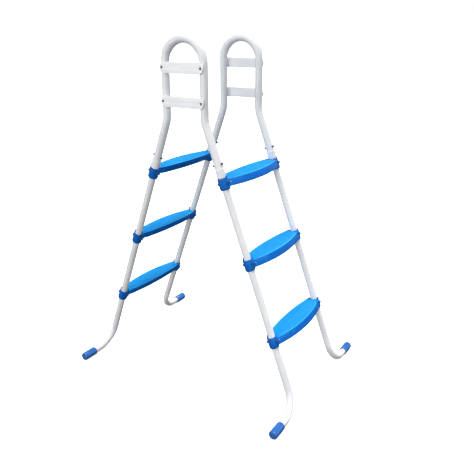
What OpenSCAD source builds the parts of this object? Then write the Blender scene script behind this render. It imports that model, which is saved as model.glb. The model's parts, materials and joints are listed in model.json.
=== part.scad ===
// A-frame ladder for an above-ground pool: two hoop handrails, three treads on each side.
// Frame: origin on the floor in the middle of the four feet, +Z up, +X to the front side,
// Y along the treads. Left is -Y and right is +Y. Millimetres.

/* [Frame] */
// Distance between the two stiles of one side, centre to centre
stile_spacing = 394; // [340:2:480]
// Lean of the legs from the vertical, in degrees
lean = 20.4; // [17:0.1:24]
// Width of a hoop, centre to centre
hoop_width = 176; // [160:2:200]
// Height where the upright part of a hoop turns into the lean
bend_height = 1132; // [1125:1:1180]
// Height of the middle of the hoop's round top
arc_height = 1336; // [1330:2:1420]
// Length of tube that the bend into the lean takes up on each side of its corner
lean_bend = 21.6; // [16:0.2:28]

/* [Tubes] */
// Outer diameter of a hoop tube
hoop_od = 31.8; // [31:0.2:33]
// Outer diameter of a leg tube
leg_od = 28.6; // [27.4:0.2:28.8]
// Wall of a leg tube
leg_wall = 1.5; // [1:0.1:2]
// Bend radius of a foot
foot_bend_r = 88; // [70:2:110]

/* [Treads] */
// Height of the lowest tread's top face
first_rise = 319; // [290:1:340]
// Rise from one tread to the next
rise = 305; // [290:1:310]
// Reach of a tread's outer skirt from the legs' axes, square to the lean
tread_out = 46.6; // [40:0.2:56]
// Reach of a tread's inner skirt from the legs' axes, square to the lean
tread_in = 36; // [34:0.2:46]
// Depth of the skirts
skirt = 27; // [24:0.5:32]
// Wall of the moulding
tread_wall = 3; // [2.5:0.1:4]

/* [Collars] */
// Reach of a collar below its middle, along the leg
collar_down = 20; // [18:1:26]
// Reach of a collar above its middle, along the leg
collar_up = 25; // [22:1:26]
// Outer diameter of a collar
collar_od = 41; // [39:0.5:44]
// Height of the horn at each side of a collar's rim
horn_h = 8; // [4:0.5:10]

/* [Grip plates] */
// Height of the upper grip plate
plate_upper = 1321.5; // [1318:0.5:1322]
// Height of the lower grip plate
plate_lower = 1198.6; // [1195:0.2:1205]
// Height of a grip plate's face
plate_h = 41; // [36:1:44]
// How far a plate reaches past its screw
plate_end = 11; // [9:0.5:14]

/* [Feet] */
// Diameter of a foot cap
cap_od = 36; // [34:0.5:42]
// Length of a foot cap
cap_len = 66; // [56:1:80]
// Straight tube that shows between the foot's bend and its cap
foot_straight = 28; // [15:1:40]

/* [Snap buttons] */
// Diameter of a snap button
button_d = 9.6; // [8:0.2:10]
// How far a button stands out of the hoop tube
button_out = 7.2; // [3:0.1:7.4]
// Distance along the leg from the top collar's middle to the buttons
button_up = 78; // [76:1:84]

/* [Hidden] */
$fn = 64;
// front, rear sides and left, right stiles with their signs
SIDES = [["front", 1], ["rear", -1]];
HANDS = [["left", -1], ["right", 1]];
STEPS = ["low", "mid", "top"];
PLATES = [["upper", plate_upper], ["lower", plate_lower]];
FACES = [["outer", 1], ["inner", -1]];

hoop_r = hoop_od / 2;
leg_r = leg_od / 2;
leg_bore = leg_r - leg_wall;
hoop_x = hoop_width / 2;
stile_y = stile_spacing / 2;
cap_r = cap_od / 2;
slip = 0.1;             // clearance between pieces that slide into one another
swage = 0.1;            // how much a hoop's socket ends are widened
hoop_bore = leg_r + slip - swage;
socket_r = hoop_r + swage;
socket_bore = leg_r + slip;
lean_bend_r = lean_bend / tan(lean / 2);
big = 400;              // larger than anything it cuts

// the leg's axis at height z, on the front side
function leg_x(z) = hoop_x + (bend_height - z) * tan(lean);
// height of the middle of tread k's collars
surface_up = 25;        // from the middle of the collars to the tread's top face
function collar_z(k) = first_rise + k * rise - surface_up;

foot_top = cap_r + foot_bend_r * cos(lean);     // height where the foot's bend starts
cap_start = stile_y + foot_bend_r + foot_straight;
cap_floor = 6;          // thickness of a cap's closed end
sleeve_low = 28;        // sleeve ends, along the leg from the top collar's middle
sleeve_high = 60;
hoop_low = 40;          // lower end of the hoop tube, on the same scale
leg_high = 122;         // upper end of the leg tube, on the same scale
sleeve_r = socket_r + 2;
sleeve_lip = 3.5;       // height of the bead round a sleeve's upper end

collar_r = collar_od / 2;
collar_edge = 6;        // rounding of a collar's lower edge
collar_shelf = 0.5;     // depth of the shelf round the tube in a collar's upper end
parting = 0.6;          // half the gap between the two halves of a collar
side_rib_t = 2.8;       // rib that runs up a collar's side and ends in the horn
side_rib_out = 0.8;
lug_x = collar_r + 2;   // middle of a clamp lug from the collar's axis
lug_up = 7;             // and above the collar's middle
lug_r = 5;
lug_t = 5;
clamp_screw_r = 1.7;
clamp_head_r = 3.6;
clamp_head_h = 2.4;
clamp_nut_h = 2.6;

plate_t = 6;
plate_gap = 0.3;        // between a tube and the back of a plate
plate_y = hoop_r + plate_gap;
screw_r = 1.95;
screw_head_r = 4.3;
screw_head_h = 2.4;
screw_seat = 2;         // plastic left under a plate screw's head
screw_len = 11;

button_tip = socket_r + button_out;
button_flange_r = 5.6;
button_gap = 0.3;
arm_w = 7;
arm_t = 0.8;
arm_len = 38;
arm_x = 10.2;           // distance of the spring arm from the leg's axis, at the button
arm_taper = 2.2;        // lean of the arm towards the axis, in degrees

// radii of the two bowed skirts, which run into the collars at the ends
tread_end = collar_r;
tread_out_r = (stile_y * stile_y + pow(tread_out - tread_end, 2)) / (2 * (tread_out - tread_end));
tread_in_r = (stile_y * stile_y + pow(tread_in - tread_end, 2)) / (2 * (tread_in - tread_end));
rib_t = 2.2;
rib_step = 48;
rib_count = 3;          // cross ribs on each side of the middle one

WHITE = [0.93, 0.93, 0.94];
BLUE = [0.05, 0.5, 0.95];
DARK = [0.28, 0.29, 0.31];
STEEL = [0.62, 0.64, 0.67];

// ---- placing ----

// mirrors children from the front right quarter to the quarter with the given signs
module quarter(sx, sy) {
    mirror([sx < 0 ? 1 : 0, 0, 0]) mirror([0, sy < 0 ? 1 : 0, 0]) children();
}

// puts children on the axis of the front right leg at height z, with their Z up along the leg
module on_leg(z) {
    translate([leg_x(z), stile_y, z]) rotate([0, -lean, 0]) children();
}

// a quarter or half ring of tube in the XZ plane, from angle a0 over angle a
module ring_xz(ring_r, tube_r, a0, a) {
    rotate([90, 0, 0]) rotate([0, 0, a0]) rotate_extrude(angle = a) translate([ring_r, 0]) circle(tube_r);
}

// ---- hoop handrail ----

// the solid run of one hoop in the plane y = 0, with radius r and socket ends of radius socket
module hoop_run(r, socket, z_low) {
    bend_top = bend_height + lean_bend;
    bend_end = bend_height - lean_bend * cos(lean);
    translate([0, 0, arc_height]) ring_xz(hoop_x, r, 0, 180);
    for (sx = [1, -1]) mirror([sx < 0 ? 1 : 0, 0, 0]) {
        translate([hoop_x, 0, bend_top]) cylinder(r = r, h = arc_height - bend_top);
        // the bend runs a little way into the wider socket
        translate([hoop_x + lean_bend_r, 0, bend_top]) ring_xz(lean_bend_r, r, 180, lean + 0.6);
        translate([leg_x(z_low), 0, z_low]) rotate([0, -lean, 0])
            cylinder(r = socket, h = (bend_end - z_low) / cos(lean));
    }
}

module handrail(sy) color(WHITE) quarter(1, sy) {
    z_low = collar_z(2) + hoop_low * cos(lean);
    difference() {
        translate([0, stile_y, 0]) hoop_run(hoop_r, socket_r, z_low);
        translate([0, stile_y, 0]) hoop_run(hoop_bore, socket_bore, z_low - 2);
        for (sx = [1, -1], p = PLATES)
            translate([sx * hoop_x, stile_y, p[1]]) rotate([-90, 0, 0]) cylinder(r = screw_r + slip, h = big);
        for (sx = [1, -1]) mirror([sx < 0 ? 1 : 0, 0, 0]) on_leg(collar_z(2)) button_holes();
    }
}

module button_holes() {
    translate([0, 0, button_up]) rotate([0, 90, 0])
        cylinder(d = button_d + 2 * button_gap, h = 60, center = true);
}

// ---- grip plates and their screws ----

// a plate on the outside of the right hoop, its middle at height z
module grip_plate(sy, z) color(WHITE) quarter(1, sy) translate([0, stile_y, z]) {
    half = hoop_x + plate_end - plate_h / 2;
    difference() {
        union() {
            translate([0, plate_y + plate_t, 0]) rotate([90, 0, 0]) {
                for (sx = [1, -1]) translate([sx * half, 0, 0]) cylinder(d = plate_h, h = plate_t);
                translate([-half, -plate_h / 2, 0]) cube([2 * half, plate_h, plate_t]);
            }
            for (sx = [1, -1]) plate_saddle(sx);
        }
        for (sx = [1, -1]) translate([sx * hoop_x, 0, 0]) {
            cylinder(r = hoop_r + plate_gap, h = big, center = true);
            rotate([-90, 0, 0]) cylinder(r = screw_r + 0.25, h = big);
            translate([0, plate_y + screw_seat, 0]) rotate([-90, 0, 0]) cylinder(r = screw_head_r + 0.5, h = big);
        }
    }
}

// the block behind a plate that hugs the tube
module plate_saddle(sx) {
    saddle_h = 30;
    saddle_w = 25;
    saddle_in = 7;
    translate([sx * (hoop_x - 5) - saddle_w / 2, saddle_in, -saddle_h / 2])
        cube([saddle_w, plate_y + 1 - saddle_in, saddle_h]);
}

module plate_screws(sy) color(DARK) quarter(1, sy)
    for (sx = [1, -1], p = PLATES)
        translate([sx * hoop_x, stile_y + plate_y + screw_seat, p[1]]) rotate([-90, 0, 0]) difference() {
            union() {
                cylinder(r = screw_head_r, h = screw_head_h);
                translate([0, 0, -screw_len]) cylinder(r = screw_r, h = screw_len);
            }
            for (a = [0, 90]) rotate([0, 0, a]) translate([-2.4, -0.5, screw_head_h - 1.2]) cube([4.8, 1, 2]);
        }

// ---- sleeve at the slip joint ----

module slip_sleeve(sx, sy) color(WHITE) quarter(sx, sy) on_leg(collar_z(2)) difference() {
    union() {
        translate([0, 0, sleeve_low]) cylinder(r = sleeve_r, h = sleeve_high - sleeve_low);
        translate([0, 0, sleeve_high - sleeve_lip]) cylinder(r = sleeve_r + 0.9, h = sleeve_lip);
    }
    cylinder(r = leg_r + slip, h = big);
    translate([0, 0, hoop_low - slip]) cylinder(r = socket_r + slip, h = big);
}

// ---- leg with its foot ----

// the solid run of one leg with tube radius r
module leg_run(r) {
    leg_top = collar_z(2) + leg_high * cos(lean);
    on_leg(foot_top) {
        cylinder(r = r, h = (leg_top - foot_top) / cos(lean));
        translate([0, foot_bend_r, 0]) rotate([90, 0, 90]) rotate([0, 0, 180])
            rotate_extrude(angle = 90) translate([foot_bend_r, 0]) circle(r);
        translate([0, foot_bend_r, -foot_bend_r]) rotate([-90, 0, 0])
            cylinder(r = r, h = foot_straight + cap_len - cap_floor - 1);
    }
}

module leg(sx, sy) color(WHITE) quarter(sx, sy) difference() {
    leg_run(leg_r);
    leg_run(leg_bore);
    on_leg(collar_z(2)) button_holes();
}

// ---- foot cap ----

module foot_cap(sx, sy) color(BLUE) quarter(sx, sy)
    translate([leg_x(cap_r), cap_start, cap_r]) rotate([-90, 0, 0]) difference() {
        rotate_extrude() difference() {
            union() {
                square([cap_r, cap_len - 4]);
                translate([0, cap_len - 4]) square([cap_r - 4, 4]);
                translate([cap_r - 4, cap_len - 4]) circle(4);
            }
            translate([-cap_r, 0]) square([cap_r, cap_len + 10]);
        }
        translate([0, 0, -1]) cylinder(r = leg_r + slip, h = cap_len - cap_floor + 1);
        translate([0, 0, cap_len - 0.8]) difference() {
            cylinder(r = cap_r - 6, h = 2);
            cylinder(r = cap_r - 8, h = 6, center = true);
        }
    }

// ---- treads ----

// the lens between the two bowed skirts, pulled in by inset, along the legs; cut to the heights z0 to z1
module tread_lens(inset, z0, z1) {
    intersection() {
        rotate([0, -lean, 0]) {
            intersection() {
                translate([tread_out - tread_out_r, 0, -big / 2])
                    cylinder(r = tread_out_r - inset, h = big, $fn = 720);
                translate([tread_in_r - tread_in, 0, -big / 2])
                    cylinder(r = tread_in_r - inset, h = big, $fn = 720);
            }
        }
        translate([-big / 2, -stile_y + parting, z0]) cube([big, stile_spacing - 2 * parting, z1 - z0]);
    }
}

// the body of a collar about the leg's axis, its lower edge rounded
module collar_body() {
    translate([0, 0, -collar_down]) rotate_extrude() difference() {
        union() {
            square([collar_r - collar_edge, 2 * collar_edge]);
            translate([collar_r - collar_edge, collar_edge]) circle(collar_edge);
            translate([0, collar_edge]) square([collar_r, collar_down + collar_up - collar_edge]);
        }
        translate([-big, -big]) square([big, 2 * big]);
    }
}

// half of a collar with its lugs and horns, kept where y < 0
module collar_half() {
    difference() {
        union() {
            collar_body();
            for (sx = [1, -1]) mirror([sx < 0 ? 1 : 0, 0, 0]) {
                translate([lug_x, -parting, lug_up]) rotate([90, 0, 0]) cylinder(r = lug_r, h = lug_t);
                translate([0, -parting - lug_t, lug_up - lug_r]) cube([lug_x, lug_t, 2 * lug_r]);
                translate([0, -parting, 0]) rotate([90, 0, 0]) linear_extrude(side_rib_t) polygon([
                    [0, -collar_down + collar_edge],
                    [collar_r, -collar_down + collar_edge],
                    [collar_r + side_rib_out, -collar_down + collar_edge + 4],
                    [collar_r + side_rib_out, collar_up + horn_h],
                    [collar_r - 1.2, collar_up],
                    [0, collar_up]
                ]);
            }
        }
        translate([-big / 2, -parting, -big / 2]) cube([big, big, big]);
    }
}

// what both halves of a collar are cut by: the leg, the sleeve's room above, the screws and their seats
module collar_cuts(seat_len) {
    cylinder(r = leg_r + slip, h = big, center = true);
    translate([0, 0, collar_up - collar_shelf]) cylinder(r = sleeve_r + 1, h = big);
    for (sx = [1, -1]) translate([sx * lug_x, 0, lug_up]) rotate([90, 0, 0]) {
        cylinder(r = clamp_screw_r + slip, h = 60, center = true);
        translate([0, 0, parting + lug_t]) cylinder(r = clamp_head_r + 0.4, h = seat_len);
    }
}

// one tread of the front side, about the middle of its collars; its skirts lean with the legs
module tread_body() {
    difference() {
        union() {
            difference() {
                tread_lens(0, surface_up - skirt, surface_up);
                tread_lens(tread_wall, -big / 2, surface_up - tread_wall);
            }
            intersection() {
                tread_lens(tread_wall / 2, -big / 2, surface_up - tread_wall / 2);
                tread_ribs();
            }
            at_ends() collar_half();
            at_ends() nut_walls();
        }
        at_ends() collar_cuts(9);
    }
}

// the walls inside the skirts that close the pockets of the clamp nuts from behind
module nut_walls() {
    wall_x = 12;
    wall_l = 12;
    for (sx = [1, -1]) mirror([sx < 0 ? 1 : 0, 0, 0])
        translate([wall_x, -parting - lug_t - wall_l, lug_up - lug_r - 1])
            cube([collar_r - 0.5 - wall_x, wall_l, 2 * lug_r + 2]);
}

// puts children on both ends of a tread, with their Z up along the leg and y < 0 towards its middle
module at_ends() {
    for (sy = [1, -1]) mirror([0, sy < 0 ? 1 : 0, 0]) translate([0, stile_y, 0]) rotate([0, -lean, 0])
        children();
}

module tread_ribs() {
    rib_h = 9;
    rib_reach = 2 * (stile_y - 34);
    translate([-rib_t / 2 - surface_up * tan(lean), -rib_reach / 2, surface_up - rib_h])
        cube([rib_t, rib_reach, rib_h]);
    for (i = [-rib_count : rib_count])
        translate([-big / 2, i * rib_step - rib_t / 2, surface_up - rib_h]) cube([big, rib_t, rib_h]);
}

module tread(sx, k) color(BLUE) mirror([sx < 0 ? 1 : 0, 0, 0])
    translate([leg_x(collar_z(k)), 0, collar_z(k)]) tread_body();

// ---- clamp halves, screws and nuts ----

module clamp(sx, k, sy) color(BLUE) quarter(sx, sy) on_leg(collar_z(k)) mirror([0, 1, 0]) difference() {
    collar_half();
    collar_cuts(collar_r);
}

// the places of the two clamp screws of every collar on one side, Y pointing out of the ladder
module at_clamp_screws(sx)
    for (k = [0 : 2], sy = [1, -1]) quarter(sx, sy) on_leg(collar_z(k))
        for (x = [1, -1]) translate([x * lug_x, 0, lug_up]) children();

module clamp_screws(sx) color(STEEL) at_clamp_screws(sx) {
    seat = parting + lug_t;
    difference() {
        union() {
            translate([0, seat, 0]) rotate([-90, 0, 0]) cylinder(r = clamp_head_r, h = clamp_head_h);
            translate([0, -seat - clamp_nut_h - 2, 0]) rotate([-90, 0, 0])
                cylinder(r = clamp_screw_r, h = 2 * seat + clamp_nut_h + 2);
        }
        for (a = [0, 90]) translate([0, seat + clamp_head_h, 0]) rotate([0, a, 0])
            cube([4, 2, 0.9], center = true);
    }
}

module clamp_nuts(sx) color(STEEL) at_clamp_screws(sx)
    translate([0, -parting - lug_t, 0]) rotate([90, 0, 0]) difference() {
        cylinder(r = clamp_head_r, h = clamp_nut_h, $fn = 6);
        translate([0, 0, -1]) cylinder(r = clamp_screw_r + 0.05, h = big / 10, $fn = 32);
    }

// ---- snap buttons ----

// the button on face f of a leg (1 away from the ladder's middle), with its half of the spring
module snap_button(sx, sy, f) color(DARK) quarter(sx, sy) on_leg(collar_z(2))
    translate([0, 0, button_up]) mirror([f < 0 ? 1 : 0, 0, 0]) {
        dome = 1.6;
        rotate([0, 90, 0]) {
            translate([0, 0, arm_x]) cylinder(r = button_flange_r, h = 1);
            translate([0, 0, arm_x]) rotate_extrude() difference() {
                union() {
                    square([button_d / 2, button_tip - arm_x - dome]);
                    square([button_d / 2 - dome, button_tip - arm_x]);
                    translate([button_d / 2 - dome, button_tip - arm_x - dome]) circle(dome);
                }
                translate([-big, -big / 2]) square([big, big]);
            }
        }
        translate([arm_x, -arm_w / 2, 0]) rotate([0, arm_taper, 0]) translate([0, 0, -arm_len])
            cube([arm_t, arm_w, arm_len]);
    }

// ---- the ladder ----

for (h = HANDS) {
    handrail(h[1]);
    plate_screws(h[1]);
    for (p = PLATES)
        grip_plate(h[1], p[1]);
}
for (s = SIDES) {
    clamp_screws(s[1]);
    clamp_nuts(s[1]);
    for (k = [0 : 2]) {
        tread(s[1], k);
        for (h = HANDS)
            clamp(s[1], k, h[1]);
    }
    for (h = HANDS) {
        slip_sleeve(s[1], h[1]);
        leg(s[1], h[1]);
        foot_cap(s[1], h[1]);
        for (f = FACES)
            snap_button(s[1], h[1], f[1]);
    }
}
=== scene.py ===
"""Looks of the pool ladder: softened mouldings, ribbed treads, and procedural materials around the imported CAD."""
import json
import math

import bmesh
import bpy
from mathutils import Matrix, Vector


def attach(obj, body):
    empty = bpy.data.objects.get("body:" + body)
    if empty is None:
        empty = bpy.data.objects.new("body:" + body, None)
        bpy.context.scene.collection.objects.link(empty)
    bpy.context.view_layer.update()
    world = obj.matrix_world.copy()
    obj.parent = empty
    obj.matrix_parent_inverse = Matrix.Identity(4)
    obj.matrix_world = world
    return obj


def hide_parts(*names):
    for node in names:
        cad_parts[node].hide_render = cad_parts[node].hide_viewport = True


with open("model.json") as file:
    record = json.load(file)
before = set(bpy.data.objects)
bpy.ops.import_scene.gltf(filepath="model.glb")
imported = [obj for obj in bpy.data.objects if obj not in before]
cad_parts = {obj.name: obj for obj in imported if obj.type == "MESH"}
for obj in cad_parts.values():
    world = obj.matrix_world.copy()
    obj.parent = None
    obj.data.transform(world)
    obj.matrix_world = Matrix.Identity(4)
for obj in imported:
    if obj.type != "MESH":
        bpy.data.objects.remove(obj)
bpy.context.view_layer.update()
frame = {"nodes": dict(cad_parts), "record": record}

scene = bpy.context.scene

# ---- sizes of the CAD treads that the detail on them follows, in metres ----
LEAN = math.radians(20.4)       # of the legs, from upright
HOOP_X = 0.088                  # half the width of a hoop
BEND_HEIGHT = 1.132             # where a hoop's legs start to lean
STILE_Y = 0.197                 # a leg's distance from the ladder's middle plane
SURFACE_UP = 0.025              # a tread's top face above the middle of its collars
COLLAR_Z = {"low": 0.294, "mid": 0.599, "top": 0.904}
TREAD_END = 0.0205              # half the width of a tread at its ends, square to the legs
TREAD_OUT = 0.0466              # reach of the bowed outer edge at the tread's middle
TREAD_IN = 0.036                # and of the inner edge
SIDES = {"front": 1, "rear": -1}

# ---- sizes of the detail, in metres ----
SINK = 0.0003                   # how far ribs and beads reach into the face below them
RIB_PITCH = 0.0056
RIB_HALF = 0.0014               # half a rib's width
RIB_HEIGHT = 0.0013
RIB_INSET = 0.0075              # from the tread's edge to the ends of the ribs
RIB_CLEAR = 0.026               # from a leg's axis to the nearest rib, at least
RIB_SHORTEST = 0.012
# A rib's section: share of its half width, share of its height, and 1 where it is sunk in the face
RIB_SECTION = ((-1, 0, 1), (-0.62, 0.65, 0), (-0.3, 1, 0), (0.3, 1, 0), (0.62, 0.65, 0), (1, 0, 1))
# A rib's run-out: distance from its end, and share of its height there
RIB_ENDS = ((0.0, 0.0), (0.0008, 0.6), (0.0022, 1.0))
RIM_HALF = 0.0022               # half the width of the bead along a tread's edge
RIM_HEIGHT = 0.0018
RIM_INSET = 0.0038
RIM_CLEAR = 0.024
RIM_STEPS = 72                  # lengths that a bead is divided into
RIM_SIDES = 6                   # faces round a bead's section
RIM_RUN_OUT = 6                 # a bead reaches its full height after one part in six of its length


def leg_x(z):
    return HOOP_X + (BEND_HEIGHT - z) * math.tan(LEAN)


# ---- materials ----

class Nodes:
    """A short way to build a material's node tree."""

    def __init__(self, name):
        self.mat = bpy.data.materials.new(name)
        self.mat.use_nodes = True
        self.tree = self.mat.node_tree
        self.shader = self.tree.nodes["Principled BSDF"]
        self.place = self.new("ShaderNodeTexCoord").outputs["Object"]

    def new(self, kind, **values):
        n = self.tree.nodes.new(kind)
        for k, v in values.items():
            setattr(n, k, v)
        return n

    def link(self, a, b):
        self.tree.links.new(a, b)

    def noise(self, scale, detail=2.0, rough=0.5, stretch=None):
        n = self.new("ShaderNodeTexNoise")
        n.inputs["Scale"].default_value = scale
        n.inputs["Detail"].default_value = detail
        n.inputs["Roughness"].default_value = rough
        if stretch:
            m = self.new("ShaderNodeMapping")
            m.inputs["Scale"].default_value = stretch
            self.link(self.place, m.inputs["Vector"])
            self.link(m.outputs["Vector"], n.inputs["Vector"])
        else:
            self.link(self.place, n.inputs["Vector"])
        return n.outputs["Fac"]

    def ramp(self, value, low, high, to_low=0.0, to_high=1.0):
        n = self.new("ShaderNodeMapRange")
        for k, v in (("From Min", low), ("From Max", high), ("To Min", to_low), ("To Max", to_high)):
            n.inputs[k].default_value = v
        self.link(value, n.inputs["Value"])
        return n.outputs["Result"]

    def math(self, how, a, b):
        n = self.new("ShaderNodeMath", operation=how, use_clamp=True)
        for i, v in enumerate((a, b)):
            if isinstance(v, (int, float)):
                n.inputs[i].default_value = v
            else:
                self.link(v, n.inputs[i])
        return n.outputs["Value"]

    def mix(self, fac, a, b):
        n = self.new("ShaderNodeMix", data_type="RGBA")
        ins = [i for i in n.inputs if i.type == "RGBA"]
        self.link(fac, n.inputs["Factor"])
        for i, v in zip(ins, (a, b)):
            if isinstance(v, tuple):
                i.default_value = (*v, 1)
            else:
                self.link(v, i)
        return [o for o in n.outputs if o.type == "RGBA"][0]

    def colour(self, out):
        self.link(out, self.shader.inputs["Base Color"])

    def rough(self, out):
        self.link(out, self.shader.inputs["Roughness"])

    def bump(self, *layers):
        """Each layer is (height, strength, distance in metres)."""
        normal = None
        for height, strength, distance in layers:
            b = self.new("ShaderNodeBump")
            b.inputs["Strength"].default_value = strength
            b.inputs["Distance"].default_value = distance
            self.link(height, b.inputs["Height"])
            if normal:
                self.link(normal, b.inputs["Normal"])
            normal = b.outputs["Normal"]
        self.link(normal, self.shader.inputs["Normal"])

    def edges(self, low, high):
        """Rises from 0 on flat faces to 1 on sharp outer edges."""
        g = self.new("ShaderNodeNewGeometry")
        return self.ramp(g.outputs["Pointiness"], low, high)

    def height_mask(self, low, high):
        """Goes from 0 at the height low to 1 at the height high, in metres."""
        s = self.new("ShaderNodeSeparateXYZ")
        self.link(self.place, s.inputs["Vector"])
        return self.ramp(s.outputs["Z"], low, high)

    def facing_up(self, low, high):
        """Rises from 0 to 1 as the surface's normal goes from low to high along Z."""
        s = self.new("ShaderNodeSeparateXYZ")
        self.link(self.new("ShaderNodeNewGeometry").outputs["Normal"], s.inputs["Vector"])
        return self.ramp(s.outputs["Z"], low, high)


def powder_coat():
    """White powder coat on steel tube: a fine orange peel under a thin gloss."""
    m = Nodes("white_powder_coat")
    tint = m.ramp(m.noise(9, 3), 0.35, 0.65)
    col = m.mix(tint, (0.69, 0.697, 0.712), (0.74, 0.746, 0.758))
    # faint scuffs, more of them low down where the ladder is dragged and stored
    scuff = m.ramp(m.noise(60, 6, 0.7, (1, 1, 0.25)), 0.60, 0.70)
    low_down = m.height_mask(0.55, 0.02)
    scuff_share = m.math("MULTIPLY", m.math("MULTIPLY", scuff, low_down), 0.30)
    m.colour(m.mix(scuff_share, col, (0.42, 0.42, 0.41)))
    m.rough(m.ramp(m.noise(30, 4), 0.3, 0.7, 0.26, 0.40))
    m.bump((m.noise(700, 2, 0.5), 0.10, 0.0004), (m.noise(120, 2), 0.04, 0.0010))
    m.shader.inputs["Coat Weight"].default_value = 0.25
    m.shader.inputs["Coat Roughness"].default_value = 0.18
    return m.mat


def plastic(name, deep, bright, rough, wear, wear_share=0.25, grain=1400, grain_strength=0.16,
            specular=0.35, top=None):
    """A moulded plastic between two colours, deep and bright, with flow marks, scratches and worn edges.

    rough is the range of its roughness. wear is the colour of scratches and edges, and wear_share is how
    far they take it. top is the pair of lighter colours painted on faces that look up, a painted sky reflection.
    """
    m = Nodes(name)
    cloud = m.ramp(m.noise(14, 4, 0.6), 0.3, 0.7)
    col = m.mix(cloud, deep, bright)
    # faces that look up take the lighter top colours: painted sky reflection, not a colour of the plastic
    if top:
        col = m.mix(m.facing_up(0.80, 0.97), col, m.mix(cloud, *top))
    flow = m.ramp(m.noise(22, 3, 0.6, (1, 0.18, 1)), 0.42, 0.62)
    col = m.mix(m.math("MULTIPLY", flow, 0.18), col, bright)
    scratch = m.ramp(m.noise(240, 5, 0.75, (0.25, 1, 0.4)), 0.63, 0.72)
    worn = m.math("MAXIMUM", m.math("MULTIPLY", scratch, 0.5), m.edges(0.53, 0.62))
    m.colour(m.mix(m.math("MULTIPLY", worn, wear_share), col, wear))
    m.rough(m.ramp(m.noise(45, 5, 0.65), 0.3, 0.7, *rough))
    m.bump((m.noise(grain, 2, 0.6), grain_strength, 0.0003), (m.noise(35, 2), 0.06, 0.0015))
    m.shader.inputs["Specular IOR Level"].default_value = specular
    return m.mat


def steel(name, base, dark, rough):
    """A metal clouded between two colours, with a fine drawn grain; rough is the range of its roughness."""
    m = Nodes(name)
    m.colour(m.mix(m.ramp(m.noise(180, 4), 0.3, 0.7), base, dark))
    m.shader.inputs["Metallic"].default_value = 1.0
    m.rough(m.ramp(m.noise(400, 4, 0.6, (1, 0.2, 1)), 0.3, 0.7, *rough))
    m.bump((m.noise(2200, 2, 0.6), 0.12, 0.0002))
    return m.mat


WHITE_COAT = powder_coat()
WHITE_PLASTIC = plastic(
    "white_plastic", (0.76, 0.768, 0.785), (0.82, 0.826, 0.838), rough=(0.34, 0.46),
    wear=(0.62, 0.62, 0.61), wear_share=0.22, grain=900, grain_strength=0.10)
SLEEVE_PLASTIC = plastic(
    "sleeve_plastic", (0.78, 0.79, 0.85), (0.84, 0.85, 0.90), rough=(0.30, 0.42),
    wear=(0.62, 0.62, 0.64), wear_share=0.22, grain=900, grain_strength=0.10)
# the top colours make the tread tops lighter and more cyan than the skirts: painted sky reflection
AZURE = plastic(
    "azure_plastic", (0.0, 0.134, 0.48), (0.001, 0.172, 0.58), rough=(0.38, 0.54),
    wear=(0.08, 0.32, 0.72), specular=0.12, top=((0.0, 0.230, 0.56), (0.001, 0.275, 0.62)))
# the ribs' azure is lighter than the tread's: painted highlight where the ribs catch the light
AZURE_RIB_HIGHLIT = plastic(
    "azure_plastic_rib_highlit", (0.002, 0.300, 0.66), (0.012, 0.360, 0.74), rough=(0.34, 0.48),
    wear=(0.12, 0.42, 0.80), specular=0.2)
# the bead's azure is lighter still: painted highlight along the tread's rounded edge
AZURE_RIM_HIGHLIGHT = plastic(
    "azure_plastic_rim_highlight", (0.010, 0.370, 0.74), (0.030, 0.430, 0.82), rough=(0.28, 0.42),
    wear=(0.20, 0.50, 0.85), specular=0.4)
# a darker copy of the tread's azure for the clamps' collars: painted shade
AZURE_SHADED = plastic(
    "azure_plastic_collar_shaded", (0.0, 0.108, 0.39), (0.001, 0.138, 0.47), rough=(0.38, 0.52),
    wear=(0.10, 0.34, 0.75), specular=0.18)
VINYL = plastic(
    "blue_vinyl", (0.012, 0.118, 0.39), (0.024, 0.165, 0.49), rough=(0.20, 0.30),
    wear=(0.16, 0.34, 0.62), wear_share=0.35, grain=800, grain_strength=0.08, specular=0.85)
BUTTON = plastic(
    "button_grey", (0.10, 0.105, 0.11), (0.15, 0.155, 0.16), rough=(0.32, 0.48),
    wear=(0.34, 0.34, 0.35), wear_share=0.35, grain=1800, grain_strength=0.12)
BLACK_SCREW = steel("black_screw", (0.045, 0.045, 0.05), (0.09, 0.09, 0.10), rough=(0.34, 0.50))
STEEL = steel("dark_steel", (0.16, 0.17, 0.20), (0.10, 0.11, 0.13), rough=(0.30, 0.46))


# ---- mesh helpers ----

WELD = 1e-6                     # metres; corners closer than this are one
FLAT = 0.25                     # degrees; faces that meet at less are joined
ROUNDED = 34                    # degrees; edges sharper than this are rounded
CREASE = 40                     # degrees; a softened piece shades sharp above this
RIB_CREASE = 50                 # and so do ribs and beads

def object_from(bm, name, material, body):
    mesh = bpy.data.meshes.new(name)
    bm.to_mesh(mesh)
    bm.free()
    mesh.materials.append(material)
    o = bpy.data.objects.new(name, mesh)
    scene.collection.objects.link(o)
    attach(o, body)
    return o


def apply_modifiers(o):
    dep = bpy.context.evaluated_depsgraph_get()
    mesh = bpy.data.meshes.new_from_object(o.evaluated_get(dep))
    mats = list(o.data.materials)
    o.modifiers.clear()
    o.data = mesh
    mesh.materials.clear()
    for m in mats:
        mesh.materials.append(m)


def smooth(mesh, degrees):
    """Smooth shading, but sharp where faces meet at more than this angle."""
    for p in mesh.polygons:
        p.use_smooth = True
    mesh.set_sharp_from_angle(angle=math.radians(degrees))


def body_of_node(node):
    for body, members in frame["record"]["behaviour"]["bodies"].items():
        if node in members:
            return body


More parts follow.
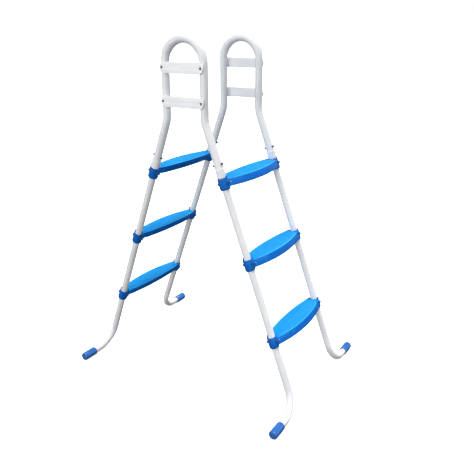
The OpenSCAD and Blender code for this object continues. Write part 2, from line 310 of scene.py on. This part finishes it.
def soften(node, material, slot, width, segments):
    """A copy of a CAD node's shape with its edges rounded, which stands for the node."""
    bm = bmesh.new()
    bm.from_mesh(frame["nodes"][node].data)
    bmesh.ops.remove_doubles(bm, verts=bm.verts, dist=WELD)
    bmesh.ops.dissolve_limit(bm, angle_limit=math.radians(FLAT), verts=bm.verts, edges=bm.edges)
    o = object_from(bm, node + "_soft", material, body_of_node(node))
    b = o.modifiers.new("round", "BEVEL")
    b.width = width
    b.segments = segments
    b.limit_method = "ANGLE"
    b.angle_limit = math.radians(ROUNDED)
    b.use_clamp_overlap = True
    b.miter_outer = "MITER_ARC"
    bpy.context.view_layer.update()
    apply_modifiers(o)
    smooth(o.data, CREASE)
    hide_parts(node)


def paint(node, material):
    o = frame["nodes"][node]
    o.data.materials.clear()
    o.data.materials.append(material)


# ---- the carried-over tubes and the softened mouldings ----

# How a node's name starts, then its material, its slot, and the rounding's width in metres and segments.
# The first start that fits counts, so the clamps' screws and nuts come before the clamps.
MOULDINGS = {
    "slip_sleeve": (SLEEVE_PLASTIC, "sleeve", 0.0008, 2),
    "grip_plate": (WHITE_PLASTIC, "plate", 0.0012, 3),
    "plate_screws": (BLACK_SCREW, "plate_screw", 0.0003, 2),
    "clamp_screws": (STEEL, "clamp_screw", 0.0003, 2),
    "clamp_nuts": (STEEL, "clamp_nut", 0.0002, 2),
    # the clamps take the darker azure copy, painted shade
    "clamp_": (AZURE_SHADED, "clamp", 0.0009, 2),
    "tread_": (AZURE, "tread", 0.0016, 3),
    "foot_cap": (VINYL, "foot_cap", 0.0010, 2),
    "snap_button": (BUTTON, "button", 0.0002, 2),
}

for node in frame["nodes"]:
    if node.startswith(("handrail", "leg_")):
        paint(node, WHITE_COAT)
    else:
        kind = next(k for k in MOULDINGS if node.startswith(k))
        soften(node, *MOULDINGS[kind])


# ---- treads: anti-slip ribs and the bead along the rim ----

def arc_radius(reach):
    """Radius of a tread's edge, which bows from TREAD_END at the legs out to reach at the middle."""
    bow = reach - TREAD_END
    return (STILE_Y ** 2 + bow ** 2) / (2 * bow)


def outline(y, inset, sx):
    """Inner and outer x of a tread's top face at y, pulled in by inset.

    They are counted from the legs' axis at the height of the middle of the collars.
    """
    ro, ri = arc_radius(TREAD_OUT), arc_radius(TREAD_IN)
    out = TREAD_OUT - ro + math.sqrt((ro - inset) ** 2 - y * y)
    inn = ri - TREAD_IN - math.sqrt((ri - inset) ** 2 - y * y)
    shift = SURFACE_UP * math.tan(LEAN)
    return sx * (inn / math.cos(LEAN) - shift), sx * (out / math.cos(LEAN) - shift)


def strip(bm, sections):
    """Joins equal rings of points into a closed solid."""
    rings = [[bm.verts.new(p) for p in s] for s in sections]
    n = len(rings[0])
    for a, b in zip(rings, rings[1:]):
        for i in range(n):
            bm.faces.new((a[i], a[(i + 1) % n], b[(i + 1) % n], b[i]))
    bm.faces.new(rings[0][::-1])
    bm.faces.new(rings[-1])


def tread_piece(bm, name, material):
    bmesh.ops.recalc_face_normals(bm, faces=bm.faces)
    smooth(object_from(bm, name, material, "ladder").data, RIB_CREASE)


def tread_grip(name, sx, xc, top):
    """Cross ribs on a tread of side sx, whose legs' axis is at xc and whose top face is at the height top."""
    bm = bmesh.new()
    count = int((STILE_Y - RIB_CLEAR) / RIB_PITCH)
    for i in range(-count, count + 1):
        y = i * RIB_PITCH
        lo, hi = sorted(outline(y, RIB_INSET, sx))
        if hi - lo < RIB_SHORTEST:
            continue
        along = [(lo + d, share) for d, share in RIB_ENDS] + [(hi - d, share) for d, share in RIB_ENDS[::-1]]
        strip(bm, [[(xc + x, y + across * RIB_HALF, top + up * share * RIB_HEIGHT - sunk * SINK)
                    for across, up, sunk in RIB_SECTION]
                   for x, share in along])
    # ribs in the lighter azure, a painted highlight
    tread_piece(bm, name, AZURE_RIB_HIGHLIT)


def tread_rim(name, sx, xc, top):
    """The low beads that frame the ribbed field, one along each long edge, in a lighter azure that is a painted
    highlight line.
    """
    bm = bmesh.new()
    angles = [math.pi * k / RIM_SIDES for k in range(RIM_SIDES + 1)]
    for edge in (0, 1):
        sections = []
        for i in range(RIM_STEPS + 1):
            y = (STILE_Y - RIM_CLEAR) * (2 * i / RIM_STEPS - 1)
            x = outline(y, RIM_INSET, sx)[edge] + xc
            rise = (RIM_HEIGHT + SINK) * min(1.0, RIM_RUN_OUT * min(i, RIM_STEPS - i) / RIM_STEPS)
            sections.append([(x + RIM_HALF * math.cos(t), y, top - SINK + rise * math.sin(t)) for t in angles])
        strip(bm, sections)
    tread_piece(bm, name, AZURE_RIM_HIGHLIGHT)


for side, sx in SIDES.items():
    for step, zc in COLLAR_Z.items():
        tread_grip(f"tread_grip_{side}_{step}", sx, sx * leg_x(zc), zc + SURFACE_UP)
        tread_rim(f"tread_rim_{side}_{step}", sx, sx * leg_x(zc), zc + SURFACE_UP)


# ---- floor, light and camera ----

FLOOR_HALF = 30                 # metres
FLOOR_GLOW = 0.55
DOME_UP = 0.31                  # strength of the sky dome above the bright band
DOME_DOWN = 0.13                # and below it
SCREEN = 0.85                   # strength of the band
SCREEN_LOW = (-0.20, -0.08)     # heights on the unit sphere between which the band fades in
SCREEN_HIGH = (0.30, 0.48)      # and out again
LIGHT_DISTANCE = 6              # metres, where a far light's object stands
CAMERA_PLACE = (1.2846, -1.8694, 1.4482)
CAMERA_YAW = -0.563             # radians from +Y, clockwise seen from above
CAMERA_PITCH = -0.359           # radians above the horizon
CAMERA_SENSOR = 36              # millimetres
CAMERA_LENS = 41.77
CAMERA_REACH = 100              # metres


def floor():
    """A bright floor that the ladder stands out against without being lit by it from below."""
    mesh = bpy.data.meshes.new("floor")
    s = FLOOR_HALF
    mesh.from_pydata([(-s, -s, 0), (s, -s, 0), (s, s, 0), (-s, s, 0)], [], [(0, 1, 2, 3)])
    o = bpy.data.objects.new("floor", mesh)
    scene.collection.objects.link(o)
    m = Nodes("studio_floor")
    m.colour(m.mix(m.ramp(m.noise(1.5, 2), 0.3, 0.7), (0.80, 0.80, 0.80), (0.82, 0.82, 0.82)))
    m.shader.inputs["Roughness"].default_value = 0.9
    m.shader.inputs["Specular IOR Level"].default_value = 0.1
    # lit from within like a light table, which keeps the shadows faint
    m.shader.inputs["Emission Color"].default_value = (1, 1, 1, 1)
    m.shader.inputs["Emission Strength"].default_value = FLOOR_GLOW
    mesh.materials.append(m.mat)
    o.visible_diffuse = False
    o.visible_glossy = False


def sun(name, azimuth, elevation, strength, softness):
    """A far light; azimuth is counted from +X towards +Y, and all angles are in degrees."""
    data = bpy.data.lights.new(name, "SUN")
    data.energy = strength
    data.angle = math.radians(softness)
    o = bpy.data.objects.new(name, data)
    scene.collection.objects.link(o)
    az, el = math.radians(azimuth), math.radians(elevation)
    to = Vector((math.cos(az) * math.cos(el), math.sin(az) * math.cos(el), math.sin(el)))
    o.location = LIGHT_DISTANCE * to
    o.rotation_euler = to.to_track_quat("Z", "Y").to_euler()


def studio_world():
    """A dim dome, darker below, with a bright band along the horizon that gives every view a white background."""
    world = bpy.data.worlds.new("studio")
    scene.world = world
    world.use_nodes = True
    t = world.node_tree
    back = t.nodes["Background"]
    coord = t.nodes.new("ShaderNodeTexCoord")
    up = t.nodes.new("ShaderNodeSeparateXYZ")
    t.links.new(coord.outputs["Generated"], up.inputs["Vector"])

    def fade(low, high, start, end):
        n = t.nodes.new("ShaderNodeMapRange")
        n.interpolation_type = "SMOOTHSTEP"
        for k, v in (("From Min", low), ("From Max", high), ("To Min", start), ("To Max", end)):
            n.inputs[k].default_value = v
        t.links.new(up.outputs["Z"], n.inputs["Value"])
        return n.outputs["Result"]

    total = t.nodes.new("ShaderNodeMath")
    t.links.new(fade(*SCREEN_LOW, DOME_DOWN, SCREEN), total.inputs[0])
    t.links.new(fade(*SCREEN_HIGH, 0.0, DOME_UP - SCREEN), total.inputs[1])
    t.links.new(total.outputs["Value"], back.inputs["Strength"])
    back.inputs["Color"].default_value = (0.98, 0.99, 1.0, 1)


def add_camera():
    camera = bpy.data.objects.new("camera", bpy.data.cameras.new("camera"))
    scene.collection.objects.link(camera)
    scene.camera = camera
    level = math.cos(CAMERA_PITCH)
    forward = Vector((math.sin(CAMERA_YAW) * level, math.cos(CAMERA_YAW) * level, math.sin(CAMERA_PITCH)))
    camera.location = CAMERA_PLACE
    camera.rotation_euler = forward.to_track_quat("-Z", "Y").to_euler()
    camera.data.sensor_width = CAMERA_SENSOR
    camera.data.lens = CAMERA_LENS
    camera.data.clip_end = CAMERA_REACH


floor()
sun("key", azimuth=58, elevation=75, strength=2.98, softness=30)
sun("fill", azimuth=-94, elevation=10, strength=1.62, softness=80)
studio_world()
add_camera()

scene.view_settings.view_transform = "Standard"
scene.view_settings.look = "None"
scene.view_settings.exposure = 0.30
scene.view_settings.gamma = 0.86
